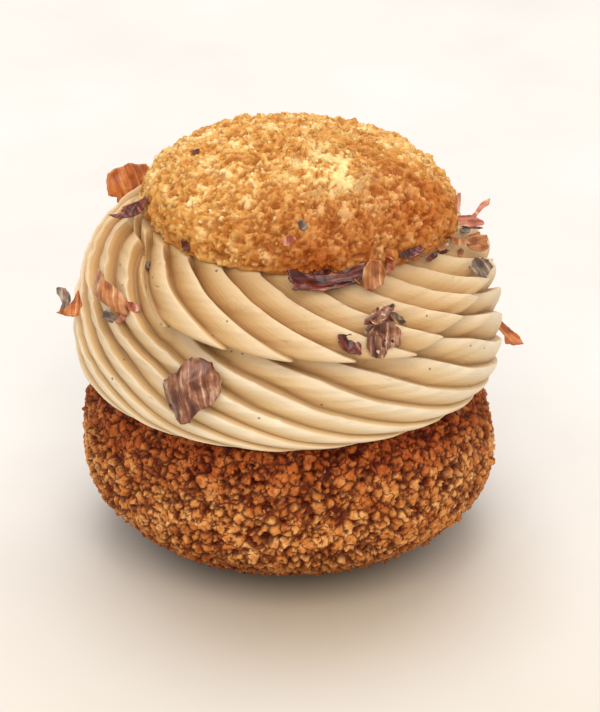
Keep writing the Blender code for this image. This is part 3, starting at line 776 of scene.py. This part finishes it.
# Drag lines along the ridges, a foam of 0.8 mm and finer, and spots of 6 mm where it is torn.
lines = node("Mapping", {"Vector": place.outputs["UV"], "Scale": (38.0, 2.2, 1.0)})
drag = node("TexNoise", {"Vector": lines, "Scale": 1.0, "Detail": 3.0})
foam = node("TexNoise", {"Vector": place.outputs["Object"], "Scale": 1300.0, "Detail": 3.0})
torn_spot = node("TexNoise", {"Vector": place.outputs["Object"], "Scale": 170.0, "Detail": 1.0})
torn_spot = node("MapRange SMOOTHSTEP", {"Value": torn_spot, "From Min": 0.64, "From Max": 0.72})
rough_foam = node("Math MULTIPLY_ADD", (torn_spot, 2.2, 0.35))
relief = node("Math MULTIPLY", (foam, rough_foam))
relief = node("Math MULTIPLY_ADD", (drag, 1.4, relief))
relief = node("Math MULTIPLY_ADD", (dot, -1.5, relief))
relief = node("Bump", {"Strength": 0.4, "Distance": 0.0003, "Height": relief})
set_shader(tree, shader, {"Base Color": body, "Normal": relief},
           {"Roughness": 0.38, "IOR": 1.46, "Subsurface Weight": 0.14,
            "Subsurface Radius": (1.0, 0.72, 0.5), "Subsurface Scale": 0.0009})
for obj in (upper_coil, lower_coil):
    obj.data.materials.append(cream_finish)
print("cream material has", len(tree.nodes), "nodes")

# %% [markdown]
# ## Shards of nut skin
# The flakes are papery skins, thinner than a fifth of a millimetre, that dried in a curl. Each is
# drawn by a few corners in millimetres, as seen by someone looking down at the bun. Rings of
# points fill the outline from its middle, the sheet is curled across one direction, pleated and
# crumpled, and Solidify gives it its thickness. A second map keeps millimetres along the shard, so
# that its veins follow its length.

# %% A torn, curled shard
ELEVATION = math.radians(26.5)
SIGHT = Vector((0, math.cos(ELEVATION), -math.sin(ELEVATION)))
SIGHT_UP = Vector((0, math.sin(ELEVATION), math.cos(ELEVATION)))
TEAR = 0.05            # how far the edge frays, as a share of the shard


def torn_outline(corners, sectors, tear, seed):
    """The corners joined by a slightly rounded, frayed line of even steps."""
    ring = np.array(corners, float)
    ring = np.vstack([ring, ring[:1]])
    run = np.concatenate([[0], np.cumsum(np.hypot(*np.diff(ring, axis=0).T))])
    even = np.linspace(0, run[-1], 8 * sectors, endpoint=False)
    line = np.stack([np.interp(even, run, ring[:, 0]), np.interp(even, run, ring[:, 1])], -1)
    kernel = np.hanning(9)[:, None] / np.hanning(9).sum()
    wide = np.vstack([line[-4:], line, line[:4]])
    line = np.array([(wide[i:i + 9] * kernel).sum(0) for i in range(len(line))])[::8]
    rng = np.random.default_rng(seed)
    fray = rng.normal(0, 1, sectors) * 0.5 + rng.normal(0, 1, (sectors + 3) // 4).repeat(4)[:sectors] * 0.5
    middle = line.mean(0)
    return middle, line + (line - middle) * (tear * fray)[:, None]


def shard(corners, centre, look, curl, curl_way, crumple, seed, pleats=0.0):
    """A sheet in the plane that faces look; its corners are given as seen along SIGHT."""
    look = look.normalized()
    along = Vector((0, 0, 1)).cross(look).normalized()
    up = look.cross(along)
    rings, sectors = 9, 48
    pleat_turn = 4.2       # radians per millimetre: pleats 1.5 mm apart
    middle, line = torn_outline(corners, sectors, TEAR, seed)
    way = math.radians(curl_way)
    points, flat_map, faces = [], [], []
    for j in range(rings + 1):
        t = (j / rings) ** 0.8
        for x, y in ([middle] if j == 0 else middle + (line - middle) * t):
            seen = Vector((x, 0, 0)) + SIGHT_UP * y
            flat = seen - SIGHT * (seen.dot(look) / SIGHT.dot(look))
            u, v = flat.dot(along), flat.dot(up)
            across = u * math.cos(way) + v * math.sin(way)
            length = v * math.cos(way) - u * math.sin(way)
            if j == 0:
                origin = across, length
            bend = curl * (across - origin[0]) ** 2 + 0.3 * curl * (length - origin[1]) ** 2
            fold = crumple * noise.noise(Vector((u * 0.42, v * 0.42, seed * 3.1)))
            fine = crumple * 0.4 * noise.noise(Vector((u * 1.3, v * 1.3, seed * 1.7)))
            pleat = pleats * math.sin(across * pleat_turn + 1.5 * noise.noise(Vector((u, v, 9)) * 0.5)) * t
            points.append(centre + flat + look * (bend + fold + fine + pleat))
            flat_map.append((across, length))
    for i in range(sectors):
        k = (i + 1) % sectors
        faces.append((0, 1 + i, 1 + k))
        for j in range(rings - 1):
            low, high = 1 + j * sectors, 1 + (j + 1) * sectors
            faces.append((low + i, high + i, high + k, low + k))
    return points, faces, flat_map


def shard_object(name, parts, finish, thickness=0.16):
    """Joins shards, each already in place, into one thickened mesh."""
    points, faces, flat_map = [], [], []
    for pts, fcs, flat in parts:
        shift = len(points)
        points += [tuple(p * MM) for p in pts]
        faces += [tuple(v + shift for v in f) for f in fcs]
        flat_map += flat
    obj = mesh_object(name, points, faces)
    uv = obj.data.uv_layers.new(name="along_shard")
    for loop in obj.data.loops:
        uv.data[loop.index].uv = flat_map[loop.vertex_index]
    thick = obj.modifiers.new("thickness", "SOLIDIFY")
    thick.thickness, thick.offset = thickness * MM, 0.0
    keep_result(obj)
    obj.data.materials.append(finish)
    return obj


# %% [markdown]
# Nut skin is translucent and streaked: dark veins run along it, and where it is thin it glows
# orange against the light. Six tones cover the shards. A noise stretched along the shard's own map
# draws the veins, two thirds of a millimetre apart, and a softer one makes blotches of 2 mm.

# %% Skin materials


def skin_finish(name, stops, roughness, glow, stripe_scale):
    mat, tree, shader = new_finish(name)
    node = partial(add, tree)
    own_map = node("TexCoord", out="UV")
    stretched = node("Mapping", {"Vector": own_map, "Scale": (1.0, 0.1, 1.0)})
    veins = node("TexNoise",
                 {"Vector": stretched, "Scale": stripe_scale, "Detail": 4.0, "Distortion": 0.6})
    blotch = node("TexNoise", {"Vector": own_map, "Scale": 0.45, "Detail": 3.0})
    mixed = node("Math MULTIPLY_ADD", (veins, 1.5, -0.75))
    mixed = node("Math MULTIPLY_ADD", (blotch, 1.0, mixed))
    body = node("ValToRGB", (mixed,), "Color", stops=stops)
    relief = node("Bump", {"Strength": 0.5, "Distance": 0.00015, "Height": veins})
    set_shader(tree, shader, {"Base Color": body, "Normal": relief},
               {"Roughness": roughness, "IOR": 1.5, "Subsurface Weight": glow,
                "Subsurface Radius": (1.0, 0.35, 0.12), "Subsurface Scale": 0.0012})
    return mat


EVEN = (0.2, 0.45, 0.65, 0.9)
# name, places and codes of the tones from vein to thin spot, roughness, glow, veins per mm
orange_skin, pink_skin, amber_skin, dark_skin, grey_skin, brown_skin = [
    skin_finish(name, list(zip(places, codes.split())), *look) for name, places, codes, *look in (
        ("dried_orange_nut_skin", EVEN, "#7a3a14 #ab5a20 #c87a36 #e3a866", 0.4, 0.12, 1.5),
        ("dried_pink_nut_skin", EVEN, "#7a3426 #a35540 #bf7a5e #e0b094", 0.4, 0.2, 1.5),
        ("dried_amber_nut_skin", EVEN, "#7a4222 #a2602f #b97c48 #d9b080", 0.4, 0.15, 1.5),
        ("dried_dark_red_skin", EVEN, "#2a0c08 #4c1a12 #6c2c1e #ad6a50", 0.26, 0.08, 1.6),
        ("dried_grey_brown_skin", EVEN, "#3a2e27 #615045 #86705e #c4b09a", 0.38, 0.08, 1.6),
        ("dried_brown_skin", (0.2, 0.42, 0.62, 0.88), "#421d10 #71402a #986345 #dcbda2", 0.3, 0.1, 1.5))]

# %% [markdown]
# Each shard is set where its solid lies and turned the way it faces, and then moved until it
# touches. Those on the front come in along the line of sight, so that they stay where they are
# seen; those on the rim come straight in. The test uses a search tree over the cream, the lid and
# the base, and the shard goes a fifth of a millimetre further, since real skins stick to cream.

# %% Lay the shards on the cream


def tree_of(obj):
    return BVHTree.FromPolygons([v.co / MM for v in obj.data.vertices],
                                [tuple(p.vertices) for p in obj.data.polygons])


ground = [tree_of(o) for o in (upper_coil, lower_coil, lid, base)]


def direction(azimuth, elevation):
    a, e = math.radians(azimuth), math.radians(elevation)
    return Vector((math.cos(e) * math.cos(a), math.cos(e) * math.sin(a), math.sin(e)))


def outward(angle, height):
    slope = float(cream_radius(min(height, 56) + 1.5) - cream_radius(min(height, 56) - 1.5)) / 3
    a = math.radians(angle)
    return Vector((math.cos(a), math.sin(a), -slope)).normalized()


def lay(placed, away, sink=0.2, reach=3.0):
    """Starts the shards outside and pushes them in until they touch."""
    step = 0.1
    shift = away * reach
    for _ in range(int((reach + 3.0) / step)):
        moved = shift - away * step
        hit = False
        for pts, faces, _ in placed:
            own = BVHTree.FromPolygons([p + moved for p in pts], faces)
            hit = hit or any(own.overlap(t) for t in ground)
        if hit:
            shift = shift - away * sink
            break
        shift = moved
    return [([p + shift for p in pts], faces, flat) for pts, faces, flat in placed]


def node_centre(name):
    low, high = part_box(name)
    return (Vector(low) + Vector(high)) / 2 / MM


def node_angle(name):
    c = node_centre(name)
    return math.degrees(math.atan2(c.y, c.x)), c.z


def box_outline(width, height, turn, seed, right=0.0, up=0.0):
    """A ragged little leaf with seven corners, for the plainer bits."""
    rng = random.Random(seed)
    a = math.radians(turn)
    raw = [(sx * width / 2 * rng.uniform(0.7, 1.1), sy * height / 2 * rng.uniform(0.6, 1.1))
           for sx, sy in ((1, 0.2), (0.8, 1), (0, 1.15), (-0.9, 0.8), (-1, -0.3), (-0.5, -1), (0.5, -0.9))]
    return [(right + x * math.cos(a) - y * math.sin(a), up + x * math.sin(a) + y * math.cos(a))
            for x, y in raw]


# name, way it faces (None is away from the cream), finish, then per sheet: corners, curl per mm,
# way of the curl, crumple in mm, pleats in mm and, where it differs, its own finish
SHARDS = (
    ("flake_upright_back_left", (262, 20), orange_skin,
     [([(-4.2, 2.9), (-3.2, 3.6), (-0.9, 4.5), (1.9, 4.6), (4.4, 4.1), (5.0, 2.4), (3.8, 0.4), (2.6, -1.5),
        (2.2, -2.8), (0.5, -4.1), (-1.1, -4.1), (-2.3, -2.5), (-2.9, -1.2), (-4.3, -0.6), (-4.6, 1.3)],
       0.07, 20, 0.6, 0.1)]),
    ("flake_pointed_left", (240, 50), dark_skin,
     [([(-3.3, -1.5), (-1.4, -0.6), (-0.2, 0.2), (1.3, 1.3), (2.8, 1.9), (3.2, 1.3), (2.6, 0.6),
        (1.7, -0.4), (0.2, -1.1), (-2.1, -1.6)], 0.12, 60, 0.5, 0.0),
      (box_outline(2.6, 2.2, 20, 4), 0.15, 0, 0.3, 0.0)]),
    ("flake_long_left", None, amber_skin,
     [([(-3.9, 2.4), (-3.0, 3.7), (-1.8, 3.5), (-0.6, 1.7), (1.0, 0.5), (2.1, -1.3), (2.0, -3.0),
        (1.1, -3.6), (-0.6, -2.2), (-2.5, -0.4), (-3.8, 1.1)], -0.12, 45, 0.35, 0.0)]),
    ("flake_outer_left", (262, 30), orange_skin,
     [([(1.4, 2.3), (1.9, 0.2), (1.7, -1.8), (0.5, -2.2), (-1.0, -1.8), (-2.1, -1.5), (-0.8, -0.8),
        (0.5, 0.6)], 0.2, 0, 0.4, 0.0),
      ([(-2.2, 2.6), (-0.8, 2.6), (-0.1, 1.7), (0.1, 0.4), (-0.4, -0.6), (-0.9, -1.5), (-1.8, -1.5),
        (-1.3, 0.1), (-1.7, 1.1), (-2.2, 1.7)], 0.2, 0, 0.4, 0.0, grey_skin)]),
    ("flake_shell_front", None, brown_skin,
     [([(-0.3, 4.7), (1.6, 3.6), (2.7, 1.8), (2.9, 0.2), (3.0, -1.3), (2.3, -2.8), (0.5, -3.4), (-0.6, -4.8),
        (-1.6, -5.6), (-2.9, -5.2), (-3.8, -4.2), (-5.4, -3.3), (-6.6, -1.6), (-6.3, -0.1), (-5.2, 1.3),
        (-2.8, 2.9), (-1.4, 4.2)], -0.14, 12, 0.9, 0.16)]),
    ("flake_cluster_a", (280, 10), brown_skin,
     [([(0, 2.2), (1.8, 1.7), (3.3, 0), (3.1, -1.7), (1.4, -2.2), (0.4, -4.0), (-1.3, -3.4), (-2.2, -1.6),
        (-1.7, 0)], 0.12, 0, 1.1, 0.1), (box_outline(4.4, 3.0, 60, 21, 1.0, 1.4), 0.3, 30, 1.1, 0.1),
      (box_outline(2.8, 1.6, 40, 3, -1.4, 0.6), 0.4, 40, 0.8, 0.0, grey_skin),
      (box_outline(2.4, 1.2, -30, 23, 2.4, 2.6), 0.5, 10, 0.6, 0.0, grey_skin),
      (box_outline(2.6, 1.4, 70, 24, -0.6, 2.4), 0.5, 70, 0.8, 0.0),
      (box_outline(2.2, 1.4, 10, 25, 1.2, -1.6), 0.5, 20, 0.8, 0.0, dark_skin)]),
    ("flake_cluster_b", (300, 50), brown_skin,
     [(box_outline(5.0, 2.2, 20, 5), 0.3, 110, 0.9, 0.0),
      (box_outline(2.4, 3.0, -30, 6), 0.4, 60, 0.8, 0.0)]),
    ("flake_cluster_c", None, dark_skin,
     [([(-2.0, 1.6), (0.2, 1.6), (1.1, 0.9), (1.9, -0.3), (1.9, -1.6), (0.2, -1.4), (-1.0, -0.8),
        (-1.7, 0.1)], 0.12, 30, 0.4, 0.0)]),
    ("flake_under_lid", None, dark_skin,
     [([(-6.4, 1.1), (-3.8, 1.3), (0, 0.8), (3.0, 1.7), (5.7, 2.1), (6.2, 0.8), (4.5, -0.4), (1.9, -1.3),
        (-1.9, -1.7), (-5.3, -1.9), (-5.8, -0.8)], 0.10, 90, 0.6, 0.0)]),
    ("flake_glossy_front", (290, 10), amber_skin,
     [([(-1.5, 1.3), (-0.6, 2.5), (0.9, 2.5), (1.7, 0.6), (1.3, -1.3), (-0.2, -2.3), (-1.5, -1.9),
        (-1.9, -0.2)], 0.3, 0, 0.5, 0.1),
      (box_outline(1.2, 3.0, 10, 8, 0.9, 0.2), -0.3, 0, 0.4, 0.0, dark_skin),
      (box_outline(4.5, 0.35, -35, 31, -1.6, -1.6), 0.1, 0, 0.5, 0.0)]),
    ("flake_dark_right", None, dark_skin, [(box_outline(4.6, 1.7, 15, 9), 0.2, 90, 0.5, 0.0)]),
    ("flake_pink_right", (285, 25), pink_skin,
     [([(-2.0, 3.6), (-1.5, 3.5), (-1.5, 1.6), (-1.7, 0.2), (-2.2, 0.3), (-2.2, 1.8)], 0.1, 0, 0.2, 0.0),
      ([(-0.5, -0.9), (0.9, 0.6), (1.9, 2.2), (3.1, 2.7), (3.2, 1.8), (2.2, 1.2), (0.7, -0.7)], 0.1, 40,
       0.3, 0.0),
      ([(-2.2, -0.2), (0.2, 0.1), (2.2, -0.9), (2.4, -1.5), (0, -1.9), (-2.1, -1.6)], 0.2, 90, 0.4, 0.0),
      (box_outline(4.2, 0.5, -6, 32, 0.6, -2.0), 0.1, 0, 0.3, 0.0, dark_skin)]),
    ("flake_tan_right", (300, 20), amber_skin,
     [([(-1.7, 1.2), (0.2, 1.4), (1.7, 1.2), (1.9, -0.8), (0.6, -1.4), (-0.9, -1.2), (-2.1, -0.1)], 0.2,
       90, 0.6, 0.1), (box_outline(4.2, 1.2, -20, 12), 0.3, 70, 0.5, 0.0)]),
    ("flake_grey_right", (310, 20), grey_skin,
     [([(-1.7, 0.9), (-1.1, 1.6), (0.9, 1.3), (1.7, 0.2), (1.1, -1.7), (0.2, -1.3), (-0.9, -1.1),
        (-1.7, -0.2)], 0.2, 30, 0.5, 0.0)]),
    ("flake_outer_right", (280, 35), orange_skin,
     [([(-2.3, 1.5), (-1.5, 2.3), (-0.9, 1.7), (0.4, 0.6), (1.5, -0.4), (2.3, -1.7), (0.8, -1.9),
        (-0.8, -1.7), (-0.9, -0.2), (-1.7, 0.6)], 0.2, 45, 0.5, 0.0)]),
)
ON_THE_RIM = ("flake_upright_back_left", "flake_outer_left", "flake_outer_right", "flake_pink_right",
              "flake_grey_right")
flakes = []
for n, (name, look, finish, sheets) in enumerate(SHARDS):
    centre = node_centre(name)
    away = outward(*node_angle(name)) if name in ON_THE_RIM else -SIGHT
    facing = direction(*look) if look else outward(*node_angle(name))
    parts = [shard(sheet[0], centre, facing, *sheet[1:4], n * 5 + k, sheet[4])
             for k, sheet in enumerate(sheets)]
    by_finish = {}
    for sheet, part in zip(sheets, lay(parts, away)):
        by_finish.setdefault(sheet[5] if len(sheet) > 5 else finish, []).append(part)
    for k, (own, laid) in enumerate(by_finish.items()):
        flakes.append((shard_object(name.replace("flake", "skin") + "_b" * k, laid, own), name))
print(len(flakes), "large shards laid")

# %% [markdown]
# Between the large shards lie bits of one to three millimetres. Each is placed where a line of
# sight meets the bun, lies flat there with a random tilt, and all bits of one tone make one mesh.

# %% Small bits of skin
AIM = Vector((0.00174, 0, 0.0312))     # the spot the bun is looked at, in metres


def seen(right, up):
    """Point and outward direction where the bun is met, so many millimetres from its middle."""
    start = Vector((right, 0, 0)) + SIGHT_UP * up + AIM / MM * Vector((0, 1, 1)) - SIGHT * 100
    hits = [t.ray_cast(start, SIGHT) for t in ground]
    place, normal = min(((h[3], h[0], h[1]) for h in hits if h[0]), key=lambda h: h[0])[1:]
    return place, normal


# right, up, length, width, turn as seen, all in millimetres and degrees
BITS = {
    "skin_bits_dark": (dark_skin, ((-16.0, 17.3, 2.6, 1.1, 105), (22.6, 15.6, 2.6, 1.0, 30),
                                   (24.4, 16.6, 2.0, 0.9, 10), (5.5, 12.9, 3.2, 0.9, 8),
                                   (-14.9, 32.6, 1.4, 0.9, 30), (31.0, 15.2, 1.5, 0.8, 60))),
    "skin_bits_grey": (grey_skin, ((-28.2, 6.3, 2.4, 1.7, 100), (2.1, 20.2, 2.0, 1.4, 120),
                                   (17.2, 5.6, 2.2, 1.1, -40), (15.6, 7.3, 2.2, 1.0, 30),
                                   (28.6, 20.4, 2.2, 1.3, 20))),
    "skin_bits_pink": (pink_skin, ((-24.8, 7.6, 3.2, 1.3, -25), (-25.8, 6.4, 2.2, 1.0, 60),
                                   (-24.8, 23.8, 2.8, 2.2, 30), (15.8, 14.6, 2.8, 1.4, 95),
                                   (13.2, 3.6, 1.8, 1.0, 60), (0.0, 17.6, 2.4, 1.6, 10))),
    "skin_bits_amber": (amber_skin, ((9.6, 12.4, 2.8, 1.1, 15), (12.0, 12.0, 2.2, 0.9, -30),
                                     (26.3, 18.3, 3.0, 1.4, -20), (30.0, 18.8, 2.8, 1.2, 50),
                                     (24.2, 17.2, 2.0, 1.0, 20), (27.6, 16.6, 1.8, 0.9, 70),
                                     (-26.6, 23.2, 3.0, 1.2, 40))),
}
bits = []
rng = random.Random(77)
for name, (finish, places) in BITS.items():
    parts = []
    for k, (right, up, length, width, turn) in enumerate(places):
        centre, normal = seen(right, up)
        tilt = Vector([rng.uniform(-0.5, 0.5) for _ in range(3)])
        outline = box_outline(length, width, turn, 50 + k)
        small = shard(outline, centre, normal - SIGHT * 0.6 + tilt, 0.3, turn, 0.4, 200 + k)
        parts += lay([small], -SIGHT, 0.15)
    bits.append(shard_object(name, parts, finish, 0.14))

# A tiny curled husk ring, two millimetres across, lies on the left of the cream.
centre, normal = seen(-22.3, 14.0)
ring_points, ring_quads = [], []
AROUND, THROUGH = 28, 8
along = Vector((0, 0, 1)).cross(normal).normalized()
up = normal.cross(along)
for i in range(AROUND):
    a = math.tau * i / AROUND
    for j in range(THROUGH):
        b = math.tau * j / THROUGH
        reach = 0.75 + 0.1 * math.sin(3 * a) + 0.27 * math.cos(b)
        height = 0.35 + 0.4 * math.sin(b) + 0.12 * math.sin(2 * a)
        ring_points.append((centre + along * reach * math.cos(a) + up * reach * math.sin(a) * 0.85
                            + normal * height) * MM)
        here, after, beside = i * THROUGH, (i + 1) % AROUND * THROUGH, (j + 1) % THROUGH
        ring_quads.append((here + j, after + j, after + beside, here + beside))
husk = mesh_object("husk_ring", ring_points, ring_quads)
husk.data.materials.append(grey_skin)
bits.append(husk)
print(len(bits), "groups of small bits")

# %% [markdown]
# ## Handing the pieces to the frame
# Every piece rides on the one body, and each large piece hides the solid it stands for.

# %% Ride and replace
for piece, node_name, slot_name in ((base, "base", "baked_base_crust"), (lid, "lid", "golden_lid_crust"),
                                    (upper_coil, "cream", "praline_cream"),
                                    (lower_coil, "cream", "praline_cream")):
    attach(piece, "root")
    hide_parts(node_name)
for piece, node_name in flakes:
    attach(piece, "root")
    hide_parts(node_name)
for piece in bits:
    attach(piece, "root")

# %% [markdown]
# ## Floor, light and camera
# A pale stone-coloured floor, a large soft window behind the bun and a pale room in front keep
# the shadows short and soft. Towards the front the floor is a warmer stone with painted shade on
# it, and round the bun it has a painted warm bounce from the crust and a painted shade.

# %% Stage
floor = mesh_object("floor", [(-4, -4, 0), (4, -4, 0), (4, 4, 0), (-4, 4, 0)], [(0, 1, 2, 3)])
stone, tree, shader = new_finish("pale_stone_floor")
place = add(tree, "TexCoord", out="Object")
cloud = add(tree, "TexNoise", {"Vector": place, "Scale": 14.0, "Detail": 5.0})
body = add(tree, "ValToRGB", (cloud,), "Color", stops=((0.35, "#dbd8d5"), (0.65, "#e3e1de")))
# Towards the front: a warmer stone tone with painted shade, darker.
depth = add(tree, "SeparateXYZ", (place,), out="Y")
depth = add(tree, "MapRange", {"Value": depth, "From Min": 0.03, "From Max": -0.12})
tree.links.new(add(tree, "Mix", {0: depth, 6: body, 7: colour("#d1c8bb")}, out=2, data_type="RGBA"),
               shader.inputs["Base Color"])
# Round the bun: a painted warm bounce from the crust and a painted shade.
tint(tree, shader, soft_ball(tree, (0.004, -0.020, 0), 0.046), "#efdfc8", "MULTIPLY")
shader.inputs["Roughness"].default_value = 0.7
floor.data.materials.append(stone)


def window(name, place, target, size, power, code):
    light = bpy.data.lights.new(name, "AREA")
    light.shape, light.size, light.energy = "DISK", size, power
    light.color = colour(code)[:3]
    obj = bpy.data.objects.new(name, light)
    bpy.context.scene.collection.objects.link(obj)
    obj.location = place
    obj.rotation_euler = (Vector(target) - Vector(place)).to_track_quat("-Z", "Y").to_euler()
    return obj


window("window_behind", (0.0, 0.45, 1.25), (0, 0, 0.04), size=1.0, power=7.8, code="#fffdfb")
window("room_front", (0.05, -0.75, 0.80), (0, 0, 0.03), size=1.0, power=7.0, code="#fff8f0")
world = bpy.data.worlds.new("pale_room")
bpy.context.scene.world = world
world.use_nodes = True
world.node_tree.nodes["Background"].inputs["Color"].default_value = colour("#f6f3ee")
world.node_tree.nodes["Background"].inputs["Strength"].default_value = 0.78

# %% [markdown]
# The camera looks down 26.5 degrees from 48 centimetres away with a long lens, as for a plated
# dessert. It looks along the same line of sight that the shards are laid with.

# %% Camera
DISTANCE, LENS, SENSOR = 0.480, 146.1, 36.0     # metres, millimetres, millimetres
camera = bpy.data.objects.new("camera", bpy.data.cameras.new("camera"))
bpy.context.scene.collection.objects.link(camera)
bpy.context.scene.camera = camera
camera.location = AIM - SIGHT * DISTANCE
camera.rotation_euler = SIGHT.to_track_quat("-Z", "Y").to_euler()
camera.data.sensor_width = SENSOR
camera.data.lens = LENS
camera.data.clip_start = 0.01
bpy.context.scene.view_settings.view_transform = "Standard"
print("camera at", [round(v, 3) for v in camera.location])
